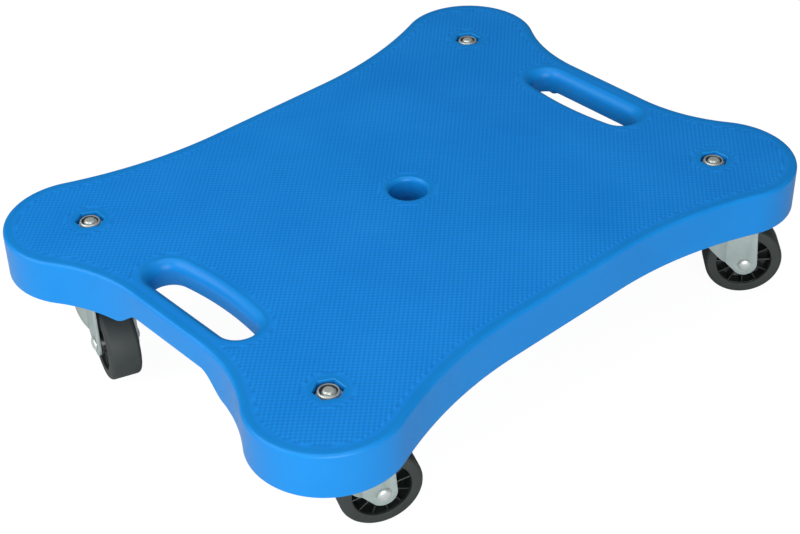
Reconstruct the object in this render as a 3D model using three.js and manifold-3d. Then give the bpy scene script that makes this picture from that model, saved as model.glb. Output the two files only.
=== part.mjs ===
// A scooter board: a moulded plastic deck with two hand slots, on four swivel casters.
// Millimetres, +Z up. The origin is on the floor under the middle of the deck.
// +X runs along the long side of the deck.

import * as THREE from 'three';
import { mergeVertices } from 'three/addons/utils/BufferGeometryUtils.js';
import Module from 'manifold-3d';

const wasm = await Module();
wasm.setup();

// Deck
const deckTop = 95;                // height of the top skin above the floor
const deckDepth = 28.2;            // depth of the side walls
const edgeRadius = 2.2;            // rounding of the top edge
const skinThickness = 3.5;
const wallThickness = 3;
const ribThickness = 2;
const ribRecess = 2.5;             // the ribs end this far above the foot of the side walls
const ribCellsX = 4;               // cells from the middle to a caster along each side
const ribCellsY = 3;
const gripDepth = 17.3;            // depth of the end walls at the hand grips
const gripHalfLength = 33;         // the end walls have that depth this far to each side of the middle
const gripRampEnd = 48;            // and are back at the full depth here
const gripInnerX = 133;            // the raised underside of a grip starts here

// Plan outline: four round lobes over the casters, joined by hollow curves at the ends and the long sides
const lobeX = 160.5;
const lobeY = 110;
const lobeRadius = 44.1;
const endWaistX = 180.2;
const endFlatY = 30.3;
const sideWaistY = 130.9;
const sideFlatX = 44.3;

// Hand slots, whose sides towards the middle of the deck are bowed, and the hole in the middle
const slotX = 154.7;
const slotHalfLength = 42.1;
const slotEndRadius = 11.1;        // and half the width towards the grip
const slotBowX = 13.8;             // half the width towards the middle, at the top of the bow
const slotDraft = 1.4;             // the slots are this much wider all round at their foot
const slotRimRadius = 4.5;
const holeRadius = 10;
const holeRimRadius = 3.5;

// Caster places, and the way that each one trails, in degrees from +X
const casterX = 155.4;
const casterY = 106.3;
const casters = [
  { name: 'left_front', x: -casterX, y: -casterY, yaw: -22.5 },
  { name: 'right_front', x: casterX, y: -casterY, yaw: -43.4 },
  { name: 'left_back', x: -casterX, y: casterY, yaw: -108.7 },
  { name: 'right_back', x: casterX, y: casterY, yaw: 128 },
];

// Fixing through the deck: an M8 stem, a lock nut in a hexagon pocket and a washer under the boss
const bossRadius = 13;
const bossFoot = 66;               // the bosses stand a little below the side walls
const stemRadius = 4;
const stemHoleRadius = 4.4;
const stemEnd = 94.9;              // the thread stops just below the top of the deck
const stemHeadRadius = 6;
const stemHeadHeight = 2.1;
const pocketAcrossFlats = 14.3;
const pocketDepth = 8.8;
const nutAcrossFlats = 13;
const nutHexHeight = 5.8;
const nutHeight = 8;
const nutBoreRadius = 4.2;
const collarRadius = 6.15;
const insertRadius = 5.1;
const insertHeight = 1.5;
const washerRadius = 8.5;
const washerThickness = 1.5;

// Swivel bearing, from the deck down
const capTop = 64.2;
const capThickness = 1.6;
const capRadius = 18.6;
const capRounding = 1.3;
const capSkirtFoot = 59.1;
const crownTop = 58.8;
const crownThickness = 2;
const crownHoleRadius = 5.4;
const grooveDepth = 0.4;
const grooveHalfWidth = 1.6;
const ballRadius = 1.8;
const ballCircle = 12.5;
const ballZ = 60.7;
const ballCount = 8;
const cageWire = 0.8;
const thrustRingInner = 5.6;
const thrustRingOuter = 9.4;
const raceFloor = 51.6;
const raceThickness = 1.6;
const raceRadius = 11;
const raceLip = 55.6;
const raceWall = 1.2;

// Fork and wheel
const trail = 24;                  // from the swivel axis to the axle
const wheelRadius = 24;
const wheelHalfWidth = 9.5;
const forkThickness = 1.8;
const forkHalfWidth = 12.5;
const forkCrownRadius = 17.2;
const forkEndRadius = 7.8;         // round end of each leg, about the axle
const forkRearX = 29.2;            // rear edge of the legs at the crown
const axleRadius = 3;
const axleHoleRadius = 3.3;
const axleHeadRadius = 4.7;
const axleHeadHeight = 3;
const sleeveRadius = 4.2;
const hubBoreRadius = 4.5;
const hubRadius = 6.8;
const rimInnerRadius = 16.9;
const rimOuterRadius = 18.7;
const rimCrown = 1.2;              // the rim is this much higher in the middle, to hold the tyre
const webThickness = 2.4;
const spokeCount = 12;
const spokeThickness = 1.1;
const spokeInset = 1.6;            // the spokes end this far inside the face of the tyre
const shoulderRadius = 2.6;

const gap = 0.3;                   // between pieces that lie against each other
const seat = 0.15;                 // between pieces that are clamped together
const past = 1;                    // how far a cutter runs past what it cuts
const wheelSides = 24;             // an even count, turned so that the wheel stands on a flat
const smallSides = 12;
const ringSides = 16;
const degrees = Math.PI / 180;

const finishes = {
  deckPlastic: new THREE.MeshStandardMaterial({ color: 0x1676cb, roughness: 0.45, metalness: 0 }),
  zincSteel: new THREE.MeshStandardMaterial({ color: 0xa9adab, roughness: 0.38, metalness: 0.85 }),
  brightSteel: new THREE.MeshStandardMaterial({ color: 0xc9cccb, roughness: 0.25, metalness: 0.95 }),
  nylon: new THREE.MeshStandardMaterial({ color: 0x2a2f33, roughness: 0.5, metalness: 0 }),
  tyreRubber: new THREE.MeshStandardMaterial({ color: 0x3c4442, roughness: 0.6, metalness: 0 }),
  hubPlastic: new THREE.MeshStandardMaterial({ color: 0x121615, roughness: 0.5, metalness: 0 }),
};

// A solid for cutting and joining, from a closed geometry whose faces point out
function solid(geometry) {
  const bare = geometry.clone();
  bare.deleteAttribute('normal');
  bare.deleteAttribute('uv');
  const merged = mergeVertices(bare, 1e-4);
  return new wasm.Manifold(new wasm.Mesh({
    numProp: 3,
    vertProperties: new Float32Array(merged.attributes.position.array),
    triVerts: new Uint32Array(merged.index.array),
  }));
}

function geometryOf(shape) {
  const mesh = shape.getMesh();
  const geometry = new THREE.BufferGeometry();
  geometry.setAttribute('position', new THREE.BufferAttribute(new Float32Array(mesh.vertProperties), 3));
  geometry.setIndex(new THREE.BufferAttribute(new Uint32Array(mesh.triVerts), 1));
  geometry.computeVertexNormals();
  return geometry;
}

const joined = (shapes) => shapes.reduce((whole, shape) => whole.add(shape));

function arc(centreX, centreY, radius, fromAngle, toAngle, steps) {
  const points = [];
  for (let step = 0; step <= steps; step += 1) {
    const angle = fromAngle + (toAngle - fromAngle) * step / steps;
    points.push(new THREE.Vector2(centreX + radius * Math.cos(angle), centreY + radius * Math.sin(angle)));
  }
  return points;
}

// A body turned about Z from its section, given anticlockwise as [radius, height]
function turned(section, sides, firstAngle = 0) {
  const points = [...section, section[0]].map(([radius, height]) => new THREE.Vector2(radius, height));
  return new THREE.LatheGeometry(points, sides, firstAngle).rotateX(Math.PI / 2);
}

// A body through a stack of outlines with equal counts of points, from the lowest up
function lofted(rings) {
  const count = rings[0].outline.length;
  const positions = rings.flatMap(({ outline, z }) => outline.flatMap((point) => [point.x, point.y, z]));
  const faces = [];
  for (let ring = 0; ring < rings.length - 1; ring += 1) {
    for (let i = 0; i < count; i += 1) {
      const near = ring * count + i;
      const next = ring * count + (i + 1) % count;
      faces.push(near, next, next + count, near, next + count, near + count);
    }
  }
  const topStart = (rings.length - 1) * count;
  for (const [a, b, c] of THREE.ShapeUtils.triangulateShape(rings[0].outline, [])) {
    faces.push(a, c, b, topStart + a, topStart + b, topStart + c);
  }
  const geometry = new THREE.BufferGeometry();
  geometry.setAttribute('position', new THREE.Float32BufferAttribute(positions, 3));
  geometry.setIndex(faces);
  return geometry;
}

const prism = (outline, low, high) => lofted([{ outline, z: low }, { outline, z: high }]);
const circle = (radius, sides, x = 0, y = 0) => arc(x, y, radius, 0, 2 * Math.PI, sides).slice(0, -1);
const hexagon = (acrossFlats) => circle(acrossFlats / 2 / Math.cos(30 * degrees), 6);

function box(lowX, highX, lowY, highY, lowZ, highZ) {
  return new THREE.BoxGeometry(highX - lowX, highY - lowY, highZ - lowZ)
    .translate((lowX + highX) / 2, (lowY + highY) / 2, (lowZ + highZ) / 2);
}

// Radius of the hollow curve that leaves a straight side and meets a lobe smoothly.
// along and across are from the end of the straight side to the lobe's centre.
function hollowRadius(along, across) {
  return (along ** 2 + across ** 2 - lobeRadius ** 2) / (2 * (lobeRadius + across));
}

// Plan outline of the deck, moved inwards by inset
function boardOutline(inset) {
  const endRadius = hollowRadius(lobeY - endFlatY, lobeX - endWaistX);
  const endCentre = new THREE.Vector2(endWaistX + endRadius, endFlatY);
  const sideRadius = hollowRadius(lobeX - sideFlatX, lobeY - sideWaistY);
  const sideCentre = new THREE.Vector2(sideFlatX, sideWaistY + sideRadius);
  const lobeStart = Math.atan2(endCentre.y - lobeY, endCentre.x - lobeX);
  const lobeEnd = Math.atan2(sideCentre.y - lobeY, sideCentre.x - lobeX);
  const quarter = [
    ...arc(endCentre.x, endCentre.y, endRadius + inset, Math.PI, Math.PI + lobeStart, 4),
    ...arc(lobeX, lobeY, lobeRadius - inset, lobeStart, lobeEnd, 11).slice(1),
    ...arc(sideCentre.x, sideCentre.y, sideRadius + inset, lobeEnd - Math.PI, -Math.PI / 2, 3).slice(1),
  ];
  const mirrored = (signX, signY) => quarter.map(({ x, y }) => new THREE.Vector2(signX * x, signY * y));
  return [...quarter, ...mirrored(-1, 1).reverse(), ...mirrored(-1, -1), ...mirrored(1, -1).reverse()];
}

// Slot outline about the origin with its bowed side at +X, grown by outset
function slotOutline(outset) {
  const endY = slotHalfLength - slotEndRadius;
  const bow = slotBowX - slotEndRadius;
  const bowCentreX = (bow ** 2 - endY ** 2) / (2 * bow);
  const bowEnd = Math.atan2(endY, -bowCentreX);
  const radius = slotEndRadius + outset;
  return [
    ...arc(bowCentreX, 0, slotBowX - bowCentreX + outset, -bowEnd, bowEnd, 6),
    ...arc(0, endY, radius, bowEnd, Math.PI, 8).slice(1),
    ...arc(0, -endY, radius, Math.PI, 2 * Math.PI - bowEnd, 8).slice(0, -1),
  ];
}

// A shape at each hand slot, with its +X side towards the middle of the deck
function atSlots(geometry) {
  const left = geometry.translate(-slotX, 0, 0);
  return [solid(left), solid(left.clone().rotateZ(Math.PI))];
}

// Steps of a quarter round, as how far it moves in and how far it rises, for a radius of 1
const quarterRound = [0, 45, 90].map((angle) => ({
  inwards: 1 - Math.cos(angle * degrees),
  upwards: Math.sin(angle * degrees),
}));

// Cutter for an opening in the top skin, with a rim rounded by rimRadius and grown by draft at its foot
function rimmedCutter(outlineAt, rimRadius, foot, draft) {
  const rings = [{ outline: outlineAt(draft), z: foot - past }];
  for (const { inwards, upwards } of quarterRound) {
    rings.push({ outline: outlineAt(rimRadius * inwards), z: deckTop - rimRadius * (1 - upwards) });
  }
  rings.push({ outline: outlineAt(rimRadius), z: deckTop + past });
  return lofted(rings);
}

// The room under a hand grip: a side view along Y and Z, run out along X past the end of the board
function gripRelief() {
  const foot = deckTop - deckDepth;
  const rise = deckDepth - gripDepth;
  const steps = 6;
  const ramp = [];
  for (let step = 0; step <= steps; step += 1) {
    const t = step / steps;
    const y = gripRampEnd + (gripHalfLength - gripRampEnd) * t;
    ramp.push(new THREE.Vector2(y, foot + rise * t * t * (3 - 2 * t)));
  }
  const outline = [
    new THREE.Vector2(gripRampEnd, foot - past),
    ...ramp,
    ...ramp.map(({ x, y }) => new THREE.Vector2(-x, y)).reverse(),
    new THREE.Vector2(-gripRampEnd, foot - past),
  ];
  const sideways = new THREE.Matrix4().set(0, 0, 1, 0, 1, 0, 0, 0, 0, 1, 0, 0, 0, 0, 0, 1);
  return prism(outline, gripInnerX, lobeX + lobeRadius + past).applyMatrix4(sideways);
}

// Crossed ribs through the casters, and a web from each boss out to the round of its lobe
function ribs() {
  const low = deckTop - deckDepth + ribRecess;
  const high = deckTop - skinThickness + past;
  const half = ribThickness / 2;
  const reachX = lobeX + lobeRadius;
  const reachY = lobeY + lobeRadius;
  const shapes = [];
  for (let i = -ribCellsX; i <= ribCellsX; i += 1) {
    const x = i * casterX / ribCellsX;
    shapes.push(solid(box(x - half, x + half, -reachY, reachY, low, high)));
  }
  for (let i = -ribCellsY - 1; i <= ribCellsY + 1; i += 1) {
    const y = i * casterY / ribCellsY;
    shapes.push(solid(box(-reachX, reachX, y - half, y + half, low, high)));
  }
  for (const { x, y } of casters) {
    const web = box(0, lobeRadius, -half, half, low, high).rotateZ(Math.atan2(y, x)).translate(x, y, 0);
    shapes.push(solid(web));
  }
  return joined(shapes);
}

// Side walls and top skin, with a rounded top edge
function deckBlock() {
  const rings = [{ outline: boardOutline(0), z: deckTop - deckDepth }];
  for (const { inwards, upwards } of quarterRound) {
    rings.push({ outline: boardOutline(edgeRadius * inwards), z: deckTop - edgeRadius * (1 - upwards) });
  }
  return solid(lofted(rings));
}

function deck() {
  const foot = deckTop - deckDepth;
  const gripFoot = deckTop - gripDepth;
  const holeSides = 20;
  const frameOutline = slotOutline(slotDraft + wallThickness);
  const bossAt = ({ x, y }, low, high) => solid(prism(circle(bossRadius, ringSides, x, y), low, high));
  const inner = solid(prism(boardOutline(wallThickness), foot - past, deckTop - skinThickness));
  const cavity = inner.subtract(joined([
    ribs(),
    solid(prism(circle(holeRadius + wallThickness, holeSides), foot, deckTop - past)),
    ...atSlots(prism(frameOutline, gripFoot, deckTop - past)),
    ...casters.map((place) => bossAt(place, foot, deckTop - past)),
  ]));
  const bossFeet = casters.map((place) => bossAt(place, bossFoot, foot + past));

  const relief = gripRelief();
  const cutters = [
    solid(rimmedCutter((outset) => circle(holeRadius + outset, holeSides), holeRimRadius, foot, 0)),
    ...atSlots(rimmedCutter(slotOutline, slotRimRadius, gripFoot, slotDraft)),
    ...atSlots(prism(frameOutline, foot - past, gripFoot)),
    solid(relief),
    solid(relief.clone().rotateZ(Math.PI)),
  ];
  const pocket = prism(hexagon(pocketAcrossFlats), deckTop - pocketDepth, deckTop + past);
  const stemHole = prism(circle(stemHoleRadius, smallSides), bossFoot - past, deckTop);
  for (const { x, y } of casters) {
    cutters.push(solid(pocket.clone().translate(x, y, 0)));
    cutters.push(solid(stemHole.clone().translate(x, y, 0)));
  }
  const moulding = joined([deckBlock().subtract(cavity), ...bossFeet]);
  return geometryOf(cutters.reduce((whole, cutter) => whole.subtract(cutter), moulding));
}

// M8 threaded stem with its closed rivet head under the swivel bearing
function stem() {
  const headTop = raceFloor - seat;
  const chamfer = 0.8;
  return turned([
    [0, headTop - stemHeadHeight], [stemHeadRadius * 0.77, headTop - stemHeadHeight * 0.86],
    [stemHeadRadius, headTop - stemHeadHeight * 0.38], [stemHeadRadius, headTop], [stemRadius, headTop],
    [stemRadius, stemEnd - chamfer], [stemRadius - chamfer, stemEnd], [0, stemEnd],
  ], smallSides);
}

const nutFoot = deckTop - pocketDepth + seat;

// Hexagon nut with a round collar that is rolled in over the locking ring
function lockNut() {
  const hexTop = nutFoot + nutHexHeight;
  const top = nutFoot + nutHeight;
  const shoulder = 0.7;
  const lip = 0.4;
  const body = solid(prism(hexagon(nutAcrossFlats), nutFoot, hexTop));
  const collar = solid(turned([
    [0, nutFoot + past], [collarRadius, nutFoot + past], [collarRadius, top - shoulder],
    [collarRadius - shoulder, top], [0, top],
  ], smallSides));
  const inside = solid(turned([
    [0, nutFoot - past], [nutBoreRadius, nutFoot - past], [nutBoreRadius, hexTop],
    [insertRadius + gap, hexTop], [insertRadius + gap, top - lip],
    [insertRadius - gap, top - lip], [insertRadius - gap, top + past], [0, top + past],
  ], smallSides));
  return geometryOf(body.add(collar).subtract(inside));
}

// A flat ring about Z
function ring(inner, outer, low, high, sides) {
  return turned([[inner, low], [outer, low], [outer, high], [inner, high]], sides);
}

// Nylon ring that locks the nut on the thread
function nutInsert() {
  const low = nutFoot + nutHexHeight + seat;
  return ring(nutBoreRadius, insertRadius, low, low + insertHeight, smallSides);
}

function washer() {
  const low = capTop + seat;
  return ring(stemHoleRadius, washerRadius, low, low + washerThickness, ringSides);
}

// Pressed cap that carries the upper ball track and shields it with a short skirt
function bearingCap() {
  const sides = 20;
  const underside = capTop - capThickness;
  const skirtInner = capRadius - capThickness;
  return turned([
    [stemHoleRadius, underside], [ballCircle - grooveHalfWidth, underside],
    [ballCircle, underside + grooveDepth], [ballCircle + grooveHalfWidth, underside],
    [skirtInner, underside], [skirtInner, capSkirtFoot], [capRadius, capSkirtFoot],
    [capRadius, capTop - capRounding], [capRadius - capRounding, capTop], [stemHoleRadius, capTop],
  ], sides);
}

// Balls between the cap and the crown, strung on a wire cage
function bearingBalls() {
  const half = cageWire / 2;
  const cage = solid(turned([
    [ballCircle - half, ballZ - half], [ballCircle + half, ballZ - half],
    [ballCircle + half, ballZ + half], [ballCircle - half, ballZ + half],
  ], ballCount, Math.PI / 2));
  const balls = [];
  for (let i = 0; i < ballCount; i += 1) {
    const ball = new THREE.IcosahedronGeometry(ballRadius, 0).translate(ballCircle, 0, ballZ);
    balls.push(solid(ball.rotateZ(2 * Math.PI * i / ballCount)));
  }
  return geometryOf(joined([cage, ...balls]));
}

// Nylon ring that the crown turns on from below
function thrustRing() {
  const low = raceFloor + raceThickness + seat;
  const high = crownTop - crownThickness - gap;
  return ring(thrustRingInner, thrustRingOuter, low, high, ringSides);
}

// Cup under the crown that carries the thrust ring
function lowerRace() {
  const track = raceFloor + raceThickness;
  return turned([
    [stemHoleRadius, raceFloor], [raceRadius - raceWall, raceFloor], [raceRadius, raceFloor + raceWall],
    [raceRadius, raceLip], [raceRadius - raceWall, raceLip], [raceRadius - raceWall, track],
    [stemHoleRadius, track],
  ], ringSides);
}

// Plan of the fork: a round crown that narrows to two straight legs, moved inwards by inset
function forkPlan(inset, rear) {
  const radius = forkCrownRadius - inset;
  const half = forkHalfWidth - inset;
  const bend = Math.asin(half / radius);
  return [
    new THREE.Vector2(rear, -half), new THREE.Vector2(rear, half),
    ...arc(0, 0, radius, bend, 2 * Math.PI - bend, 14),
  ];
}

// Side view of the fork, run through its whole width
function forkSide() {
  const leadAngle = -135 * degrees;
  const rearAngle = 4 * degrees;
  const end = arc(trail, wheelRadius, forkEndRadius, rearAngle, leadAngle, 8);
  const front = -forkCrownRadius - gap;
  const lead = end[end.length - 1];
  const outline = [
    new THREE.Vector2(forkRearX, crownTop), ...end,
    new THREE.Vector2(front, lead.y + lead.x - front), new THREE.Vector2(front, crownTop),
  ].reverse();
  return prism(outline, -forkRearX, forkRearX).rotateX(Math.PI / 2);
}

// Stamped fork whose round crown runs between the balls and the thrust ring
function fork() {
  const crownFoot = crownTop - crownThickness;
  const sheet = solid(prism(forkPlan(0, forkRearX + past), 0, crownTop)).intersect(solid(forkSide()));
  const inside = solid(prism(forkPlan(forkThickness, forkRearX + 2 * past), -past, crownFoot));
  const stemHole = solid(prism(circle(crownHoleRadius, smallSides), crownFoot - past, crownTop + past));
  const axleHole = solid(prism(circle(axleHoleRadius, smallSides), -forkRearX, forkRearX)
    .rotateX(Math.PI / 2).translate(trail, 0, wheelRadius));
  return geometryOf(sheet.subtract(inside).subtract(stemHole).subtract(axleHole));
}

// The pieces on the axle are turned about Z, and this lays them across the fork
function acrossFork(geometry) {
  return geometry.rotateX(Math.PI / 2);
}

// Axle rivet with a domed head at each end
function axle() {
  const face = forkHalfWidth + seat;
  const halfSection = [
    [axleRadius, face], [axleHeadRadius, face + seat],
    [axleHeadRadius * 0.7, face + axleHeadHeight * 0.75], [0, face + axleHeadHeight],
  ];
  const lower = halfSection.map(([radius, z]) => [radius, -z]).reverse();
  return acrossFork(turned([...lower, ...halfSection], smallSides));
}

// Steel tube between the legs, on which the wheel turns
function axleSleeve() {
  const half = forkHalfWidth - forkThickness - gap;
  return acrossFork(ring(axleHoleRadius, sleeveRadius, -half, half, smallSides));
}

// Moulded wheel centre: hub, web, rim and thin spokes on both sides of the web
function wheelCentre() {
  const hubHalf = forkHalfWidth - forkThickness - 2 * gap;
  const rimHalf = wheelHalfWidth - gap;
  const webHalf = webThickness / 2;
  const body = solid(turned([
    [hubBoreRadius, -hubHalf], [hubRadius, -hubHalf], [hubRadius, -webHalf], [rimInnerRadius, -webHalf],
    [rimInnerRadius, -rimHalf], [rimOuterRadius, -rimHalf], [rimOuterRadius + rimCrown, 0],
    [rimOuterRadius, rimHalf], [rimInnerRadius, rimHalf], [rimInnerRadius, webHalf],
    [hubRadius, webHalf], [hubRadius, hubHalf], [hubBoreRadius, hubHalf],
  ], wheelSides, Math.PI / wheelSides));
  const sunk = 0.5;
  const half = spokeThickness / 2;
  const spokeHalf = wheelHalfWidth - spokeInset;
  const spokes = [];
  for (let i = 0; i < spokeCount; i += 1) {
    const spoke = box(hubRadius - sunk, rimInnerRadius + sunk, -half, half, -spokeHalf, spokeHalf);
    spokes.push(solid(spoke.rotateZ(2 * Math.PI * i / spokeCount)));
  }
  return acrossFork(geometryOf(joined([body, ...spokes])));
}

// Solid tyre, round-shouldered, whose flats are at the wheel's true radius
function tyre() {
  const flatScale = 1 / Math.cos(Math.PI / wheelSides);
  const inner = rimOuterRadius + gap;
  const half = wheelHalfWidth;
  const shoulder = arc(wheelRadius - shoulderRadius, half - shoulderRadius, shoulderRadius, 0, Math.PI / 2, 2)
    .map((point) => [point.x * flatScale, point.y]);
  const lowerShoulder = shoulder.map(([radius, z]) => [radius, -z]).reverse();
  return acrossFork(turned([
    [inner, -half], ...lowerShoulder, ...shoulder, [inner, half], [inner + rimCrown, 0],
  ], wheelSides, Math.PI / wheelSides));
}

function piece(name, geometry, material) {
  const mesh = new THREE.Mesh(geometry, material);
  mesh.name = name;
  return mesh;
}

// One caster. Its fixing and bearing are square to the deck, and its fork and wheel point where it trails.
function caster({ name, x, y, yaw }) {
  const group = new THREE.Group();
  group.position.set(x, y, 0);
  group.add(
    piece(`stem_${name}`, stem(), finishes.brightSteel),
    piece(`lock_nut_${name}`, lockNut(), finishes.brightSteel),
    piece(`nut_insert_${name}`, nutInsert(), finishes.nylon),
    piece(`washer_${name}`, washer(), finishes.zincSteel),
    piece(`bearing_cap_${name}`, bearingCap(), finishes.zincSteel),
    piece(`bearing_balls_${name}`, bearingBalls(), finishes.brightSteel),
    piece(`thrust_ring_${name}`, thrustRing(), finishes.nylon),
    piece(`lower_race_${name}`, lowerRace(), finishes.zincSteel),
  );

  const swivel = new THREE.Group();
  swivel.rotation.z = yaw * degrees;
  swivel.add(piece(`fork_${name}`, fork(), finishes.zincSteel));

  const wheelPlace = new THREE.Group();
  wheelPlace.position.set(trail, 0, wheelRadius);
  wheelPlace.add(
    piece(`axle_${name}`, axle(), finishes.brightSteel),
    piece(`axle_sleeve_${name}`, axleSleeve(), finishes.zincSteel),
    piece(`wheel_centre_${name}`, wheelCentre(), finishes.hubPlastic),
    piece(`tyre_${name}`, tyre(), finishes.tyreRubber),
  );
  swivel.add(wheelPlace);
  group.add(swivel);
  return group;
}

const board = new THREE.Group();
board.add(piece('deck', deck(), finishes.deckPlastic));
for (const place of casters) {
  board.add(caster(place));
}

export default board;
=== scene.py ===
# Scooter board: one moulded deck on four swivel casters.
# Shapes are modelled in millimetres and scaled to metres when each piece is finished.

import math
import bmesh
import bpy
from mathutils import Matrix, Vector


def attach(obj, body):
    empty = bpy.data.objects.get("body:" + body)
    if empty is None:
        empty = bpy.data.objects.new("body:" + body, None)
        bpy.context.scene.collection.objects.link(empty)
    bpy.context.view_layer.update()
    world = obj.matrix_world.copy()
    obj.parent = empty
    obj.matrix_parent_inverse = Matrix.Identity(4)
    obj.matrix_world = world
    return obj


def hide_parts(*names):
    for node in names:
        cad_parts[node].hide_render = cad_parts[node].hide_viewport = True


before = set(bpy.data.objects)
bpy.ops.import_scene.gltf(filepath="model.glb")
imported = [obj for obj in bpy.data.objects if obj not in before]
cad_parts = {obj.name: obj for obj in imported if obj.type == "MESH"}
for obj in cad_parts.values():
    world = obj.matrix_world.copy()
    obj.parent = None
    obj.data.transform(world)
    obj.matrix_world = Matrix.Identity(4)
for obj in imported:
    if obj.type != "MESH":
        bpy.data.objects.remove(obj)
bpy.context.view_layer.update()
print("frame loaded:", len(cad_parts), "nodes")

toMetres = Matrix.Scale(0.001, 4)
quarters = ((1, 1), (-1, 1), (-1, -1), (1, -1))    # signs of X and Y, round the board
near = 0.01                      # millimetres within which a point lies on a face
past = 5                         # a cutting shape reaches this far past what it cuts
smoothAngle = 32                 # edges that turn more than this many degrees stay sharp
scene = bpy.context.scene
scene.view_settings.view_transform = "Standard"


# Camera, at the photograph's place

cameraSetup = {
    "place": (-0.5716, -0.6204, 0.6553),
    "azimuth": -42.26,
    "elevation": 36.24,
    "roll": -1.17,
    "lens": 76.31,
    "clipStart": 0.01,
}


def makeCamera(setup):
    data = bpy.data.cameras.new("camera")
    data.lens = setup["lens"]
    data.clip_start = setup["clipStart"]
    azimuth = math.radians(setup["azimuth"])
    elevation = math.radians(setup["elevation"])
    level = math.cos(elevation)
    back = Vector((math.sin(azimuth) * level, -math.cos(azimuth) * level, math.sin(elevation)))
    camera = bpy.data.objects.new("camera", data)
    scene.collection.objects.link(camera)
    turn = back.to_track_quat("Z", "Y").to_matrix().to_4x4()
    roll = Matrix.Rotation(math.radians(setup["roll"]), 4, "Z")
    camera.matrix_world = Matrix.Translation(setup["place"]) @ turn @ roll
    scene.camera = camera


makeCamera(cameraSetup)
print("camera placed")


# Colours and materials

def linear(hexColour):
    channels = [int(hexColour[i:i + 2], 16) / 255 for i in (1, 3, 5)]
    return (*[c / 12.92 if c <= 0.04045 else ((c + 0.055) / 1.055) ** 2.4 for c in channels], 1)


def addNode(owner, kind, settings={}, inputs={}):
    made = owner.node_tree.nodes.new(kind)
    for name, value in settings.items():
        setattr(made, name, value)
    for name, value in inputs.items():
        if isinstance(value, bpy.types.NodeSocket):
            owner.node_tree.links.new(value, made.inputs[name])
        else:
            made.inputs[name].default_value = value
    return made


def newMaterial(name):
    material = bpy.data.materials.new(name)
    material.use_nodes = True
    material.node_tree.nodes.clear()
    return material


def makeFinish(name, look):
    # Two tones that drift into each other in patches, where the gloss changes too, under a fine grain
    material = newMaterial(name)
    place = addNode(material, "ShaderNodeTexCoord").outputs["Object"]
    patch = addNode(material, "ShaderNodeTexNoise", {}, {
        "Vector": place, "Scale": 1000 / look["patchSize"], "Detail": 3, "Roughness": 0.55})
    grain = addNode(material, "ShaderNodeTexNoise", {}, {
        "Vector": place, "Scale": 1000 / look["grainSize"], "Detail": 2, "Roughness": 0.55})
    # Most of the noise lies between 0.3 and 0.7
    tone, roughness = [addNode(material, "ShaderNodeMapRange", {}, {
        "Value": patch.outputs["Fac"], "From Min": 0.3, "From Max": 0.7,
        "To Min": low, "To Max": high}) for low, high in ((0, 1), look["roughness"])]
    first, second = look["tones"]
    colour = addNode(material, "ShaderNodeMix", {"data_type": "RGBA"}, {
        0: tone.outputs["Result"], 6: linear(first), 7: linear(second)}).outputs[2]
    # Painted light and shade on the grip pattern: the colour darkens towards the hollows and lightens towards
    # the raised diamonds, following the height of the top
    if "heights" in look:
        lowest, highest = look["heights"]
        paintedHollowShade, crest = look["paintedShadeAndHighlight"]
        height = addNode(material, "ShaderNodeSeparateXYZ", {}, {"Vector": place})
        paintedLight = addNode(material, "ShaderNodeMapRange", {}, {
            "Value": height.outputs["Z"], "From Min": lowest, "From Max": highest,
            "To Min": paintedHollowShade, "To Max": crest})
        colour = addNode(material, "ShaderNodeHueSaturation", {}, {
            "Value": paintedLight.outputs["Result"], "Color": colour}).outputs["Color"]
    bump = addNode(material, "ShaderNodeBump", {}, {
        "Strength": look["grainStrength"], "Distance": look["grainDepth"] / 1000,
        "Height": grain.outputs["Fac"]})
    shader = addNode(material, "ShaderNodeBsdfPrincipled", {}, {
        "Base Color": colour, "Roughness": roughness.outputs["Result"],
        "Normal": bump.outputs["Normal"], **look["shader"]})
    addNode(material, "ShaderNodeOutputMaterial", {}, {"Surface": shader.outputs["BSDF"]})
    return material


# High-density polyethylene, injection moulded: waxy satin blue, faintly uneven where the melt flowed

plasticLook = {
    "tones": ("#1079c5", "#147fcb"),
    "roughness": (0.32, 0.41),
    "patchSize": 60,             # millimetres across a patch where the melt flowed
    "grainSize": 2.2,            # millimetres across a dimple of the orange peel
    "grainStrength": 0.12,
    "grainDepth": 0.12,          # millimetres
    "shader": {"IOR": 1.5, "Specular IOR Level": 0.19},
}

# The same plastic on the grip pattern, with painted shade in the hollows and a painted highlight on the
# raised diamonds. The contrast is stronger than the real one, so that a pattern this fine shows in the
# render.

gripLook = {
    **plasticLook,
    "tones": ("#1077c8", "#147dce"),
    "roughness": (0.42, 0.51),
    "heights": (0.0947, 0.0953),    # metres, of the hollows and the diamonds
    "paintedShadeAndHighlight": (0.86, 1.31),      # painted shade and highlight, as brightness there; their mean also lightens the whole top
    "shader": {"IOR": 1.5, "Specular IOR Level": 0.2},
}

# Steel sheet, bright zinc plated: pale grey metal, satin, with faint clouding from the bath

sheetLook = {
    "tones": ("#b0bebb", "#a5b3b0"),
    "roughness": (0.39, 0.52),
    "patchSize": 7,
    "grainSize": 0.5,
    "grainStrength": 0.15,
    "grainDepth": 0.04,
    "shader": {"Metallic": 0.55},    # the rest is the milky passivated film
}

# Turned and headed steel, bright zinc plated: lighter and glossier than the sheet

boltLook = {
    **sheetLook,
    "tones": ("#ccd4d1", "#bbc1bc"),
    "roughness": (0.33, 0.46),
}

# Thermoplastic rubber, moulded: matt grey-green black, scuffed evenly by the floor

rubberLook = {
    "tones": ("#252c2a", "#2c3331"),
    "roughness": (0.59, 0.71),
    "patchSize": 9,
    "grainSize": 0.8,
    "grainStrength": 0.2,
    "grainDepth": 0.06,
    "shader": {"IOR": 1.5},
}

# Polypropylene, injection moulded: nearly black, with a soft gloss

polypropyleneLook = {
    **rubberLook,
    "tones": ("#141a18", "#1b211f"),
    "roughness": (0.25, 0.37),
}

# Nylon, injection moulded: dark blue-grey, satin

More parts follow.
